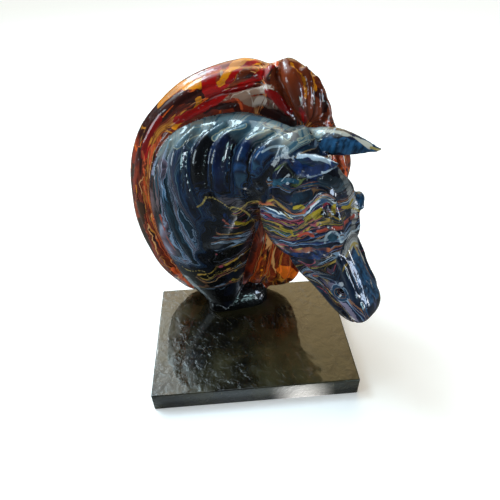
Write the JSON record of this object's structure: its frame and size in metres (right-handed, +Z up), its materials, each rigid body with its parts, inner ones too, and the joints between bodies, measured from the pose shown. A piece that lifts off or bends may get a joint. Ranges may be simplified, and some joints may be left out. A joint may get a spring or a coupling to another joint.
{
  "type": "horse head bust on a base",
  "caption": "Horse head bust with an arched neck and a wide windswept mane behind it, cast in one piece and standing on a rectangular slab.",
  "frame": {"origin": "middle of the slab's underside", "axes": "+Z up, +X along the slab's long side on the side of the horse's head, front of the figure at -Y"},
  "size_m": [0.221, 0.1705, 0.2834],
  "materials": {
    "marbled_resin": "poured marbled paint in blues on the horse and reds, browns and ambers on the mane, under a high-gloss clear coat",
    "black_lacquer": "thick black gloss lacquer with a slightly crinkled skin"
  },
  "bodies": {
    "root": {"horse_bust": "marbled_resin", "base_slab": "black_lacquer"}
  },
  "joints": []
}
